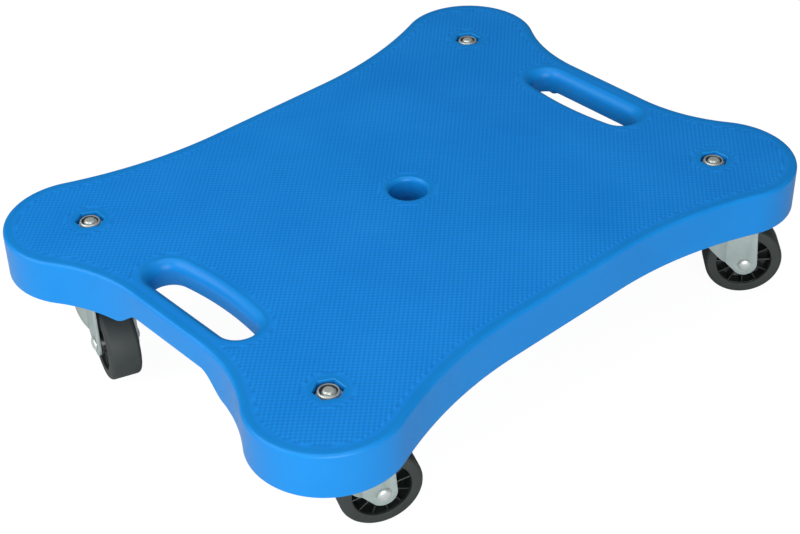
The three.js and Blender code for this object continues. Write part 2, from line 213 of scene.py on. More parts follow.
nylonLook = {
    **rubberLook,
    "tones": ("#2b3036", "#343a40"),
    "roughness": (0.37, 0.49),
}

smoothPlastic = makeFinish("mouldedPolyethylene", plasticLook)
grippedPlastic = makeFinish("grippedPolyethylene", gripLook)
zincSheet = makeFinish("zincPlatedSheet", sheetLook)
zincBolt = makeFinish("zincPlatedBolt", boltLook)
rubber = makeFinish("thermoplasticRubber", rubberLook)
polypropylene = makeFinish("mouldedPolypropylene", polypropyleneLook)
nylon = makeFinish("darkNylon", nylonLook)
print("materials made")


# Modelling helpers

def straight(bm, vert, x, y):
    end = bm.verts.new((x, y, 0))
    bm.edges.new((vert, end))
    return end


def arc(bm, vert, centre, angle, steps):
    made = bmesh.ops.spin(
        bm, geom=[vert], cent=(centre[0], centre[1], 0), axis=(0, 0, 1), dvec=(0, 0, 0),
        angle=angle, steps=steps, use_merge=False, use_duplicate=False)
    return next(g for g in made["geom_last"] if isinstance(g, bmesh.types.BMVert))


def joinInto(bm, part):
    # Moves everything in part into bm, and gives the edges that came in
    old = set(bm.edges)
    mesh = bpy.data.meshes.new("part")
    part.to_mesh(mesh)
    part.free()
    bm.from_mesh(mesh)
    bpy.data.meshes.remove(mesh)
    return [e for e in bm.edges if e not in old]


def liftRing(bm, ring, height):
    # Joins a flat ring into bm at a height, which may depend on the place
    for vert in ring.verts:
        vert.co.z = height(vert.co.x, vert.co.y) if callable(height) else height
    return joinInto(bm, ring)


def circleRing(bm, centre, radius, steps, height):
    ring = bmesh.new()
    place = Matrix.Translation((*centre, 0))
    bmesh.ops.create_circle(ring, cap_ends=False, radius=radius, segments=steps, matrix=place)
    return liftRing(bm, ring, height)


def bridge(bm, rings):
    # Each pair is drawn apart while it is joined, because rings in one plane can come out twisted
    apart = Vector((0, 0, 100))
    for lower, upper in zip(rings, rings[1:]):
        verts = list({v for e in upper for v in e.verts})
        bmesh.ops.translate(bm, verts=verts, vec=apart)
        bmesh.ops.bridge_loops(bm, edges=lower + upper)
        bmesh.ops.translate(bm, verts=verts, vec=-apart)


def fillFlat(bm, rings, normal):
    edges = [e for ring in rings for e in ring]
    made = bmesh.ops.triangle_fill(
        bm, use_beauty=True, use_dissolve=False, edges=edges, normal=normal)
    return [g for g in made["geom"] if isinstance(g, bmesh.types.BMFace)]


def raised(bm, low, high):
    # Fills the one flat ring in bm and runs it up from low to high
    face = bmesh.ops.contextual_create(bm, geom=list(bm.edges))["faces"]
    bmesh.ops.translate(bm, verts=list(bm.verts), vec=(0, 0, low))
    made = bmesh.ops.extrude_face_region(bm, geom=face, use_keep_orig=True)
    top = [g for g in made["geom"] if isinstance(g, bmesh.types.BMVert)]
    bmesh.ops.translate(bm, verts=top, vec=(0, 0, high - low))
    bmesh.ops.recalc_face_normals(bm, faces=list(bm.faces))
    return bm


def prism(radius, steps, low, high, centre=(0, 0)):
    bm = bmesh.new()
    circleRing(bm, centre, radius, steps, 0)
    return raised(bm, low, high)


def addBox(bm, low, high, turn=Matrix()):
    low, high = Vector(low), Vector(high)
    place = Matrix.Translation((low + high) / 2) @ Matrix.Diagonal((*(high - low), 1))
    bmesh.ops.create_cube(bm, size=1, matrix=turn @ place)


def bevelEdges(bm, edges, width, segments=2):
    bmesh.ops.bevel(
        bm, geom=edges, offset=width, offset_type="OFFSET", segments=segments, profile=0.5,
        affect="EDGES", clamp_overlap=True, material=-1)


def sharpEdges(bm, angle=30):
    limit = math.radians(angle)
    return [e for e in bm.edges if len(e.link_faces) == 2 and e.calc_face_angle() > limit]


def combined(first, second, operation, crossing=False):
    blanks = []
    for bm in (first, second):
        mesh = bpy.data.meshes.new("blank")
        bm.to_mesh(mesh)
        bm.free()
        blanks.append(bpy.data.objects.new("blank", mesh))
        scene.collection.objects.link(blanks[-1])
    modifier = blanks[0].modifiers.new("cut", "BOOLEAN")
    modifier.object = blanks[1]
    modifier.operation = operation
    modifier.solver = "EXACT"
    modifier.use_self = crossing
    result = bmesh.new()
    result.from_object(blanks[0], bpy.context.evaluated_depsgraph_get())
    for blank in blanks:
        mesh = blank.data
        bpy.data.objects.remove(blank)
        bpy.data.meshes.remove(mesh)
    return result


def spun(section, steps, rounding=0):
    # Turned about Z from (radius, height) points. A section off the axis is closed on itself.
    bm = bmesh.new()
    verts = [bm.verts.new((radius, 0, z)) for radius, z in section]
    edges = [bm.edges.new(pair) for pair in zip(verts, verts[1:])]
    if section[0][0] > 0:
        edges.append(bm.edges.new((verts[-1], verts[0])))
    bmesh.ops.spin(
        bm, geom=verts + edges, cent=(0, 0, 0), axis=(0, 0, 1), dvec=(0, 0, 0),
        angle=2 * math.pi, steps=steps, use_merge=True, use_duplicate=False)
    bmesh.ops.remove_doubles(bm, verts=list(bm.verts), dist=near / 20)    # closes the poles
    bmesh.ops.recalc_face_normals(bm, faces=list(bm.faces))
    if rounding:
        bevelEdges(bm, sharpEdges(bm), rounding)
    return bm


def ringOf(inner, outer, low, high, rounding, steps=64):
    return spun([(inner, low), (outer, low), (outer, high), (inner, high)], steps, rounding)


def mirroredSection(half):
    # A section that is the same on both sides, from the half with heights above 0
    return [*[(radius, -z) for radius, z in reversed(half)], *half]


def anglesTo(last, steps):
    return [last * i / steps for i in range(steps + 1)]


def hexCorner(acrossFlats):
    # How far the corners of a hexagon lie from its middle
    return acrossFlats / 2 / math.cos(math.radians(30))


def meshOf(bm, name, materials):
    mesh = bpy.data.meshes.new(name)
    bm.to_mesh(mesh)
    bm.free()
    for material in materials:
        mesh.materials.append(material)
    mesh.shade_smooth()
    mesh.set_sharp_from_angle(angle=math.radians(smoothAngle))
    return mesh


def placePiece(name, mesh, place, body, node):
    made = bpy.data.objects.new(name, mesh)
    mesh.transform(toMetres @ place)
    scene.collection.objects.link(made)
    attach(made, body)
    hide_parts(node)


# Deck

deckSizes = {
    "top": 95,
    "foot": 66.8,
    "skin": 3.5,
    "wall": 3,
    "wallSupport": 0.6,          # height of a plain strip that keeps the shading of a wall flat
    "edgeRadius": 2.2,
    "edgeSteps": 7,
    "edgeChamfer": 0.4,          # the foot of the walls is almost sharp
    "lobe": (160.5, 110),
    "lobeRadius": 44.1,
    "endWaist": 180.2,
    "endFlat": 30.3,
    "sideWaist": 130.9,
    "sideFlat": 44.3,
    "lobeSteps": 44,
    "hollowSteps": 26,
    "smoothBorder": 5.4,         # the grip pattern stops this far inside the outline
    "slotX": 154.7,
    "slotHalfLength": 41.6,
    "slotEndRadius": 10.6,
    "slotBow": 13.3,             # from the slot's middle to the top of its bowed side
    "slotDraft": 1.9,
    "slotChamfer": 0.3,
    "slotRim": 5,
    "slotRimTilt": 75,           # the rounding ends this far round, at a faint crease
    "slotRimSteps": 9,
    "slotBorder": 6.5,
    "slotSteps": 22,
    "holeRadius": 11.3,
    "holeRim": 1.9,
    "holeRimTilt": 65,
    "holeRimSteps": 8,
    "holeBorder": 3.2,
    "crease": 0.25,
    "holeSteps": 64,
    "caster": (155.4, 106.3),
    "pocketAcrossFlats": 15.2,
    "pocketDepth": 8.8,
    "pocketRim": 0.35,
    "pocketBorder": 11,
    "stemHoleRadius": 4.4,
    "bossRadius": 13,
    "bossFoot": 66,
    "bossSteps": 40,
    "gripRise": 10.9,            # how far the walls are cut back under each hand grip
    "gripFrom": 29,
    "gripTo": 49,
    "gripInner": 133,
    "gripSteps": 16,
    "gripRibRecess": 1.5,        # the ribs under a grip end this far above the foot of the walls
    "slotRibStep": 12,           # and so do all ribs this close to the frame of a slot
    "ribThickness": 2,
    "ribFoot": 69.3,
    "ribReach": 210,
    "ribCells": (4, 3),          # rib cells from the middle to a caster, along X and Y
    "ribsEachSide": 4,
    "ribInFrame": 0.1,           # how far the ribs run into the frame of a slot
    "ribInBoss": 2,
}

casterCentres = [(x * deckSizes["caster"][0], y * deckSizes["caster"][1]) for x, y in quarters]


def gripFoot(x, y):
    # Height of the foot of a wall, which rises in an S over each hand grip
    d = deckSizes
    if abs(x) < d["gripInner"]:
        return d["foot"]
    t = min(max((d["gripTo"] - abs(y)) / (d["gripTo"] - d["gripFrom"]), 0), 1)
    return d["foot"] + d["gripRise"] * t * t * (3 - 2 * t)


def hollowRadius(along, across):
    # For a hollow that runs smoothly into a lobe, from its flattest place to the lobe's centre
    radius = deckSizes["lobeRadius"]
    return (along ** 2 + across ** 2 - radius ** 2) / (2 * (radius + across))


def outlineHollows():
    # Centre and radius of the hollow at the end and of that at the side, where X and Y are over 0
    d = deckSizes
    lobeX, lobeY = d["lobe"]
    endRadius = hollowRadius(lobeY - d["endFlat"], lobeX - d["endWaist"])
    sideRadius = hollowRadius(lobeX - d["sideFlat"], lobeY - d["sideWaist"])
    endCentre = Vector((d["endWaist"] + endRadius, d["endFlat"]))
    sideCentre = Vector((d["sideFlat"], d["sideWaist"] + sideRadius))
    return endCentre, endRadius, sideCentre, sideRadius


def outlineRing(bm, inset, height):
    d = deckSizes
    lobe = Vector(d["lobe"])
    endCentre, _, sideCentre, _ = outlineHollows()
    toEnd = math.atan2(*(endCentre - lobe).yx)
    toSide = math.atan2(*(sideCentre - lobe).yx)
    endHollow = (endCentre, Vector((d["endWaist"] - inset, d["endFlat"])), toEnd)
    sideHollow = (sideCentre, Vector((d["sideFlat"], d["sideWaist"] - inset)), math.pi / 2 - toSide)
    ring = bmesh.new()
    first = vert = ring.verts.new((d["endWaist"] - inset, -d["endFlat"], 0))
    for signs in quarters:
        mirror = Vector(signs)
        hollows = [endHollow, sideHollow] if signs[0] == signs[1] else [sideHollow, endHollow]
        start = hollows[0][1] * mirror
        vert = straight(ring, vert, *start)
        vert = arc(ring, vert, hollows[0][0] * mirror, hollows[0][2], d["hollowSteps"])
        vert = arc(ring, vert, lobe * mirror, toSide - toEnd, d["lobeSteps"])
        vert = arc(ring, vert, hollows[1][0] * mirror, hollows[1][2], d["hollowSteps"])
    bmesh.ops.pointmerge(ring, verts=[first, vert], merge_co=first.co)
    return liftRing(bm, ring, height)


def slotShape():
    # Y of the end circles' centres, and centre and half angle of the bow on the side towards the middle
    d = deckSizes
    endY = d["slotHalfLength"] - d["slotEndRadius"]
    bow = d["slotBow"] - d["slotEndRadius"]
    bowCentre = (bow ** 2 - endY ** 2) / (2 * bow)
    return endY, bowCentre, math.atan2(endY, -bowCentre)


def slotRing(bm, side, outset, height):
    d = deckSizes
    endY, bowCentre, bowEnd = slotShape()
    ring = bmesh.new()
    first = ring.verts.new((-d["slotEndRadius"] - outset, -endY, 0))
    vert = arc(ring, first, (0, -endY), math.pi - bowEnd, d["slotSteps"])
    vert = arc(ring, vert, (bowCentre, 0), 2 * bowEnd, d["slotSteps"])
    vert = arc(ring, vert, (0, endY), math.pi - bowEnd, d["slotSteps"])
    ring.edges.new((vert, first))
    turn = Matrix.Rotation(math.pi if side > 0 else 0, 4, "Z") @ Matrix.Translation((-d["slotX"], 0, 0))
    bmesh.ops.transform(ring, matrix=turn, verts=list(ring.verts))
    return liftRing(bm, ring, height)


def slotPrism(side, outset, low, high):
    bm = bmesh.new()
    slotRing(bm, side, outset, 0)
    return raised(bm, low, high)


def fillet(reach, steps, tilt=90):
    # Steps of the rounding at the top of a wall, as (offset, depth below the top)
    angles = anglesTo(math.radians(tilt), steps)
    radius = reach / (1 - math.cos(angles[-1]))
    return [(radius * (1 - math.cos(a)), radius * (math.sin(angles[-1]) - math.sin(a))) for a in angles]


def edgeWall(bm, ceiling):
    # The rings of each wall run from the ceiling down its inside and up its outside to the top
    d = deckSizes
    top, chamfer = d["top"], d["edgeChamfer"]
    return [
        outlineRing(bm, d["wall"], ceiling),
        outlineRing(bm, d["wall"], gripFoot),
        outlineRing(bm, chamfer, gripFoot),
        outlineRing(bm, 0, lambda x, y: gripFoot(x, y) + chamfer),
        outlineRing(bm, 0, top - d["edgeRadius"] - d["wallSupport"]),
        *[outlineRing(bm, inset, top - depth) for inset, depth in fillet(d["edgeRadius"], d["edgeSteps"])],
        outlineRing(bm, d["smoothBorder"], top),
    ]


def slotWall(bm, ceiling, side):
    d = deckSizes
    top, foot = d["top"], d["foot"] + d["gripRise"]
    draft, chamfer = d["slotDraft"], d["slotChamfer"]
    return [slotRing(bm, side, outset, height) for outset, height in (
        (draft + d["wall"], ceiling),
        (draft + d["wall"], foot),
        (draft + chamfer, foot),
        (draft, foot + chamfer),
        *[(out, top - depth) for out, depth in fillet(d["slotRim"], d["slotRimSteps"], d["slotRimTilt"])],
        (d["slotRim"] + d["crease"], top),
        (d["slotBorder"], top))]


def holeWall(bm, ceiling):
    d = deckSizes
    top, radius = d["top"], d["holeRadius"]
    return [circleRing(bm, (0, 0), radius + outset, d["holeSteps"], height) for outset, height in (
        (d["wall"], ceiling),
        (d["wall"], d["foot"]),
        (0, d["foot"]),
        (0, top - 2 * d["holeRim"] - d["wallSupport"]),
        *[(out, top - depth) for out, depth in fillet(d["holeRim"], d["holeRimSteps"], d["holeRimTilt"])],
        (d["holeRim"] + d["crease"], top),
        (d["holeBorder"], top))]


def nutPocket(bm, ceiling, centre):
    # Gives the ring where the boss meets the ceiling, and the border round the pocket on the top
    d = deckSizes
    top, floor = d["top"], d["top"] - d["pocketDepth"]
    corner = hexCorner(d["pocketAcrossFlats"])
    border = circleRing(bm, centre, d["pocketBorder"], d["bossSteps"], top)
    pocket = [circleRing(bm, centre, radius, 6, height) for radius, height in (
        (corner + d["pocketRim"], top), (corner, top - d["pocketRim"]), (corner, floor))]
    bridge(bm, pocket)
    boss = [circleRing(bm, centre, radius, d["bossSteps"], height) for radius, height in (
        (d["stemHoleRadius"], floor), (d["stemHoleRadius"], d["bossFoot"]),
        (d["bossRadius"], d["bossFoot"]), (d["bossRadius"], ceiling))]
    bridge(bm, boss)
    for rings in ([border, pocket[0]], [pocket[-1], boss[0]]):
        fillFlat(bm, rings, (0, 0, 1))
    return boss[-1], border


def deckShell():
    bm = bmesh.new()
    ceiling = deckSizes["top"] - deckSizes["skin"]
    walls = [
        edgeWall(bm, ceiling), slotWall(bm, ceiling, -1), slotWall(bm, ceiling, 1),
        holeWall(bm, ceiling)]
    for rings in walls:
        bridge(bm, rings)
    walls += [nutPocket(bm, ceiling, centre) for centre in casterCentres]
    fillFlat(bm, [rings[0] for rings in walls], (0, 0, -1))
    for face in fillFlat(bm, [rings[-1] for rings in walls], (0, 0, 1)):
        face.material_index = gripped
    bmesh.ops.recalc_face_normals(bm, faces=list(bm.faces))
    return bm


def deckRibs():
    d = deckSizes
    low, high = d["ribFoot"], d["top"] - d["skin"] / 2
    below, above = d["foot"] - past, d["top"] + past
    half, reach = d["ribThickness"] / 2, d["ribReach"]
    ribs = bmesh.new()
    for axis, cells in enumerate(d["ribCells"]):
        pitch = d["caster"][axis] / cells
        for i in range(-d["ribsEachSide"], d["ribsEachSide"] + 1):
            at = i * pitch
            if axis == 0:
                addBox(ribs, (at - half, -reach, low), (at + half, reach, high))
            else:
                addBox(ribs, (-reach, at - half, low), (reach, at + half, high))
    for x, y in casterCentres:
        turn = Matrix.Translation((x, y, 0)) @ Matrix.Rotation(math.atan2(y, x), 4, "Z")
        addBox(ribs, (0, -half, low), (d["lobeRadius"], half, high), turn)

    inside = bmesh.new()
    outlineRing(inside, d["wall"] / 2, 0)
    ribs = combined(ribs, raised(inside, below, d["top"]), "INTERSECT", crossing=True)

    frameOutset = d["slotDraft"] + d["wall"]
    gripRoof = d["foot"] + d["gripRise"] + d["gripRibRecess"]
    rooms = [slotPrism(side, frameOutset - d["ribInFrame"], below, above) for side in (-1, 1)]
    rooms.append(prism(d["holeRadius"] + d["wall"] / 2, d["holeSteps"], below, above))
    for centre in casterCentres:
        rooms.append(prism(d["bossRadius"] - d["ribInBoss"], d["bossSteps"], below, above, centre))
    for side in (-1, 1):
        rooms.append(slotPrism(side, frameOutset + d["slotRibStep"], below, gripRoof))
        rooms.append(gripRoom(side))
    for room in rooms:
        ribs = combined(ribs, room, "DIFFERENCE")
    return ribs


def gripRoom(side):
    # The room under one hand grip, drawn from the end of the board and then turned up
    d = deckSizes
    below = d["foot"] - past
    bm = bmesh.new()
    first = vert = bm.verts.new((d["gripTo"], below, 0))
    for i in range(2 * d["gripSteps"] + 1):
        y = d["gripTo"] - i * d["gripTo"] / d["gripSteps"]
        vert = straight(bm, vert, y, gripFoot(d["gripInner"], y) + d["gripRibRecess"])
    vert = straight(bm, vert, -d["gripTo"], below)
    bm.edges.new((vert, first))
    raised(bm, d["gripInner"], d["ribReach"] + past)
    sideways = Matrix(((0, 0, side, 0), (1, 0, 0, 0), (0, 1, 0, 0), (0, 0, 0, 1)))
    bmesh.ops.transform(bm, matrix=sideways, verts=list(bm.verts))
    bmesh.ops.recalc_face_normals(bm, faces=list(bm.faces))
    return bm


gripPattern = {
    "cellX": 3.752,              # distance between raised diamonds along X
    "cellY": 3.454,
    "height": 0.3,               # each diamond stands this far over the mean, and each hollow under it
    "reach": (203, 153),         # the grid is drawn this far from the middle, and then cut to shape
    "margin": 0.5,               # kept free inside the border of the pattern
}
gripped = 1                      # place of the gripped plastic in the deck's materials


def edgeDistance(x, y):
    # How far a place lies inside the outline
    d = deckSizes
    lobe = Vector(d["lobe"])
    place = Vector((abs(x), abs(y)))
    endCentre, endRadius, sideCentre, sideRadius = outlineHollows()
    fromLobe = place - lobe
    if fromLobe.cross(endCentre - lobe) <= 0 <= fromLobe.cross(sideCentre - lobe):
        return d["lobeRadius"] - fromLobe.length
    end = (place - endCentre).length - endRadius if place.y > d["endFlat"] else d["endWaist"] - place.x
    side = (place - sideCentre).length - sideRadius if place.x > d["sideFlat"] else d["sideWaist"] - place.y
    return min(end, side)


def slotDistance(inwards, y):
    # How far a place lies outside a slot, from its distance inwards of the slot's middle
    d = deckSizes
    endY, bowCentre, bowEnd = slotShape()
    if inwards > 0 and math.atan2(y, inwards - bowCentre) < bowEnd:
        return math.hypot(inwards - bowCentre, y) - d["slotBow"] + bowCentre
    return math.hypot(inwards, max(y - endY, 0)) - d["slotEndRadius"]


def insideGrip(x, y):
    # How far a place lies inside the part of the top that has the grip pattern
    d = deckSizes
    x, y = abs(x), abs(y)
    return min(
        edgeDistance(x, y) - d["smoothBorder"],
        slotDistance(d["slotX"] - x, y) - d["slotBorder"],
        math.hypot(x, y) - d["holeRadius"] - d["holeBorder"],
        math.hypot(x - d["caster"][0], y - d["caster"][1]) - d["pocketBorder"])


def gripTop():
    # A grid with two steps to a diamond, pulled up and down like an egg box
    g = gripPattern
    stepX, stepY = g["cellX"] / 2, g["cellY"] / 2
    across = 2 * math.ceil(g["reach"][0] / stepX)
    along = 2 * math.ceil(g["reach"][1] / stepY)
    bm = bmesh.new()
    place = Matrix.Diagonal((stepX * across / 2, stepY * along / 2, 1, 1))
    bmesh.ops.create_grid(bm, x_segments=across, y_segments=along, size=1, matrix=place)
    outside = [v for v in bm.verts if insideGrip(v.co.x, v.co.y) < g["margin"]]
    bmesh.ops.delete(bm, geom=outside, context="VERTS")
    bmesh.ops.delete(bm, geom=[e for e in bm.edges if not e.link_faces], context="EDGES")
    bmesh.ops.delete(bm, geom=[v for v in bm.verts if not v.link_faces], context="VERTS")
    for vert in bm.verts:
        if not vert.is_boundary:
            wave = math.cos(math.pi * vert.co.x / stepX) * math.cos(math.pi * vert.co.y / stepY)
            vert.co.z = g["height"] * wave
    bmesh.ops.poke(bm, faces=list(bm.faces), offset=0, center_mode="MEAN")
    bmesh.ops.translate(bm, verts=list(bm.verts), vec=(0, 0, deckSizes["top"]))
    for face in bm.faces:
        face.material_index = gripped
    return bm


def makeDeck():
    bm = combined(deckShell(), deckRibs(), "UNION")
    print("ribs joined")
    flat = [f for f in bm.faces if f.material_index == gripped]
    bmesh.ops.delete(bm, geom=flat, context="FACES")
    border = [e for e in bm.edges if e.is_boundary]
    inner = [e for e in joinInto(bm, gripTop()) if e.is_boundary]
    for face in fillFlat(bm, [border, inner], (0, 0, 1)):
        face.material_index = gripped
    bmesh.ops.recalc_face_normals(bm, faces=list(bm.faces))
    return bm


deckMesh = meshOf(makeDeck(), "deckMoulding", [smoothPlastic, grippedPlastic])
placePiece("deckMoulding", deckMesh, Matrix(), "deck", "deck")
print("deck moulded")


# Stem: a rivet head under the lower race, a plain shank, and a thread for the lock nut

stemSizes = {
    "radius": 4,
    "headTop": 51.45,
    "headRadius": 6,
    "headHeight": 2.1,
    "end": 94.9,
    "endChamfer": 0.9,
    "rounding": 0.12,
    "steps": 40,
    "threadFoot": 84.5,
    "threadRoot": 3.35,
    "threadSink": 0.15,          # how far the ridge of the thread runs into the root
    "threadPitch": 1.25,
    "threadTurns": 7,
    "threadSteps": 28,           # steps to a turn
}


def makeStem():
    s = stemSizes
    root, end, pitch = s["threadRoot"], s["end"], s["threadPitch"]
    foot = s["headTop"] - s["headHeight"]
    # Head, shank, root of the thread and chamfered end
    bm = spun([
        (0, foot), (s["headRadius"] * 0.6, foot + 0.25), (s["headRadius"] * 0.9, foot + 0.9),
        (s["headRadius"], s["headTop"] - 0.4), (s["headRadius"], s["headTop"]),
        (s["radius"], s["headTop"]), (s["radius"], s["threadFoot"]),
        (root, s["threadFoot"] + 0.8), (root, end - s["endChamfer"]),
        (root - 0.5, end - 0.25), (root - 0.9, end), (0, end - 0.15),
    ], s["steps"], s["rounding"])
    # The thread is a ridge of triangular section with a narrow crest, wound up the root
    sunk, crest = root - s["threadSink"], s["radius"] - 0.05
    half = pitch * 0.45
    ridge = [bm.verts.new((radius, 0, s["threadFoot"] + 0.2 + z)) for radius, z in (
        (sunk, -half), (crest, -0.08), (crest, 0.08), (sunk, half))]
    loop = [bm.edges.new((ridge[i], ridge[(i + 1) % 4])) for i in range(4)]
    face = bmesh.ops.contextual_create(bm, geom=loop)["faces"]
    bmesh.ops.spin(
        bm, geom=ridge + loop + face, cent=(0, 0, 0), axis=(0, 0, 1),
        dvec=(0, 0, pitch / s["threadSteps"]), angle=2 * math.pi * s["threadTurns"],
        steps=s["threadSteps"] * s["threadTurns"], use_merge=False, use_duplicate=False)
    bmesh.ops.recalc_face_normals(bm, faces=list(bm.faces))
    return bm


# Lock nut: a hexagon with turned corners, and a round collar closed in over the locking ring

nutSizes = {
    "foot": 86.35,
    "height": 8,
    "hexHeight": 5.8,
    "acrossFlats": 13,
    "cornerHeight": 0.8,         # of the cone that takes off the corners
    "collarRadius": 6.15,
    "bore": 4.15,
    "steps": 64,
}

insertSizes = {
    "radius": 5.1,
    "height": 1.5,
    "lift": 0.15,                # over the hexagon's top
    "gap": 0.03,                 # between the ring's hole and the nut's bore
    "rounding": 0.35,
}


def makeNut():
    n = nutSizes
    low, hexTop, top = n["foot"], n["foot"] + n["hexHeight"], n["foot"] + n["height"]
    corner = hexCorner(n["acrossFlats"])
    turned, outside, cone = n["acrossFlats"] / 2 - 0.1, corner + 0.3, n["cornerHeight"]
    chamfered = spun([
        (0, low), (turned, low), (outside, low + cone), (outside, hexTop - cone), (turned, hexTop),
        (0, hexTop)], n["steps"])
    body = combined(prism(corner, 6, low, hexTop), chamfered, "INTERSECT")
    collar = n["collarRadius"]
    body = combined(body, spun([
        (0, low + 1), (collar, low + 1), (collar, top - 0.9), (collar - 0.25, top - 0.35),
        (collar - 0.75, top), (0, top)], n["steps"]), "UNION")
    # Room for the stem and the locking ring, under the edge that is turned in over the ring
    bore, insert = n["bore"], insertSizes["radius"]
    room = spun([
        (0, low - 1), (bore + 0.6, low - 1), (bore + 0.6, low), (bore, low + 0.5), (bore, hexTop),
        (insert + 0.2, hexTop), (insert + 0.2, top - 0.45), (insert - 0.1, top - 0.3),
        (insert + 0.05, top + 1), (0, top + 1)], n["steps"])
    return combined(body, room, "DIFFERENCE")


def makeInsert():
    i = insertSizes
    low = nutSizes["foot"] + nutSizes["hexHeight"] + i["lift"]
    return ringOf(nutSizes["bore"] + i["gap"], i["radius"], low, low + i["height"], i["rounding"])


# Washer, under the boss of the deck

washerSizes = {
    "inner": 4.4,
    "outer": 8.5,
    "foot": 64.35,
    "thickness": 1.5,
    "rounding": 0.2,
}


def makeWasher():
    w = washerSizes
    return ringOf(w["inner"], w["outer"], w["foot"], w["foot"] + w["thickness"], w["rounding"])


# Bearing cap: a pressed cup over the crown of the fork, with a groove for the balls

capSizes = {
    "top": 64.2,
    "skirtFoot": 59.1,
    "radius": 18.6,
    "thickness": 1.6,
    "bore": 4.4,
    "rounding": 1.5,
    "roundingSteps": 5,
    "edge": 0.2,
    "edgeAngle": 60,             # corners sharper than this get the small edge
    "grooveDepth": 0.4,
    "grooveHalf": 1.6,
    "steps": 96,
}

ballSizes = {
    "count": 8,
    "radius": 1.8,
    "height": 60.7,
    "circle": 12.5,              # radius of the ring of balls
    "cageHalf": 0.4,
    "cageRounding": 0.1,
    "cageSteps": 72,
}


def makeCap():
    c = capSizes
    radius, top, bore = c["radius"], c["top"], c["bore"]
    under, inner = top - c["thickness"], radius - c["thickness"]
    circle, groove = ballSizes["circle"], c["grooveHalf"]
    bm = spun([
        (bore, under), (circle - groove, under), (circle, under + c["grooveDepth"]),
        (circle + groove, under), (inner, under), (inner, c["skirtFoot"]), (radius, c["skirtFoot"]),
        (radius, top), (bore, top)], c["steps"])
    rim = [e for e in sharpEdges(bm) if all(
        v.co.z > top - near and v.co.xy.length > radius - near for v in e.verts)]
    bevelEdges(bm, rim, c["rounding"], c["roundingSteps"])
    bevelEdges(bm, sharpEdges(bm, c["edgeAngle"]), c["edge"])
    return bm


def makeBalls():
    b = ballSizes
    circle, height, half = b["circle"], b["height"], b["cageHalf"]
    bm = ringOf(circle - half, circle + half, height - half, height + half, b["cageRounding"], b["cageSteps"])
    for i in range(b["count"]):
        angle = 2 * math.pi * i / b["count"]
        place = Matrix.Translation((circle * math.cos(angle), circle * math.sin(angle), height))
        bmesh.ops.create_icosphere(bm, subdivisions=3, radius=b["radius"], matrix=place)
    return bm


# Lower race: a shallow cup under the crown, with the thrust ring in it

raceSizes = {
    "floor": 51.6,
    "lip": 55.6,
    "radius": 11,
    "wall": 1.2,
    "thickness": 1.6,
    "bore": 4.4,
    "corner": 1.2,               # of the pressed edge under it, and how far that edge is cut in
    "cornerCut": 0.35,
    "rounding": 0.15,
    "steps": 72,
}

thrustRingSizes = {
    "inner": 5.6,
    "outer": 9.4,
    "top": 56.5,
    "gap": 0.15,                 # between the ring and the race
    "rounding": 0.3,
}


def makeRace():
    r = raceSizes
    low, lip, outer, bore = r["floor"], r["lip"], r["radius"], r["bore"]
    inner, track = outer - r["wall"], low + r["thickness"]
    corner, cut = r["corner"], r["cornerCut"]
    return spun([
        (bore, low), (outer - corner, low), (outer - cut, low + cut), (outer, low + corner),
        (outer, lip), (inner, lip), (inner, track), (bore, track)], r["steps"], r["rounding"])


def makeThrustRing():
    t = thrustRingSizes
    low = raceSizes["floor"] + raceSizes["thickness"] + t["gap"]
    return ringOf(t["inner"], t["outer"], low, t["top"], t["rounding"])


# Fork: pressed from one sheet. It is drawn with its swivel at the origin, and trails along +X.

forkSizes = {
    "crownTop": 58.8,
    "crownThickness": 2,
    "crownRadius": 17.2,
    "crownSteps": 56,
    "bendRadius": 3.2,           # where the crown turns down into the sides
    "bendSteps": 5,
    "sheet": 1.8,
    "halfWidth": 12.5,
    "rear": 29.2,
    "trail": 24,
    "axleHeight": 24,
    "endRadius": 7.8,            # of the legs' round ends, about the axle
    "endAngles": (4, -135),      # degrees from level, where the round end starts and stops
    "endSteps": 28,
    "skirtRise": 3,              # how far the foot of the round skirt bows up from a straight line
    "skirtSteps": 8,
    "stemHole": 5.4,
    "axleHole": 3.3,
    "holeSteps": (48, 40),
    "edge": 0.3,
    "edgeAngle": 50,
    "cutHalfWidth": 20,          # of the shapes that cut across the fork
}


def forkPlan(inset, rear, low, high, bend):
    f = forkSizes
    radius, half = f["crownRadius"] - inset, f["halfWidth"] - inset
    angle = math.asin(half / radius)
    bm = bmesh.new()
    first = bm.verts.new((radius * math.cos(angle), half, 0))
    vert = arc(bm, first, (0, 0), 2 * (math.pi - angle), f["crownSteps"])
    vert = straight(bm, vert, rear, -half)
    vert = straight(bm, vert, rear, half)
    bm.edges.new((vert, first))
    raised(bm, low, high)
    rim = [e for e in bm.edges if all(v.co.z > high - near for v in e.verts)
           and not all(v.co.x > rear - near for v in e.verts)]
    bevelEdges(bm, rim, bend, f["bendSteps"])
    return bm


def acrossFork(bm, x=0, z=0):
    # Turns what was drawn along Z to lie along the axle
    turn = Matrix.Translation((x, 0, z)) @ Matrix.Rotation(math.pi / 2, 4, "X")
    bmesh.ops.transform(bm, matrix=turn, verts=list(bm.verts))
    return bm


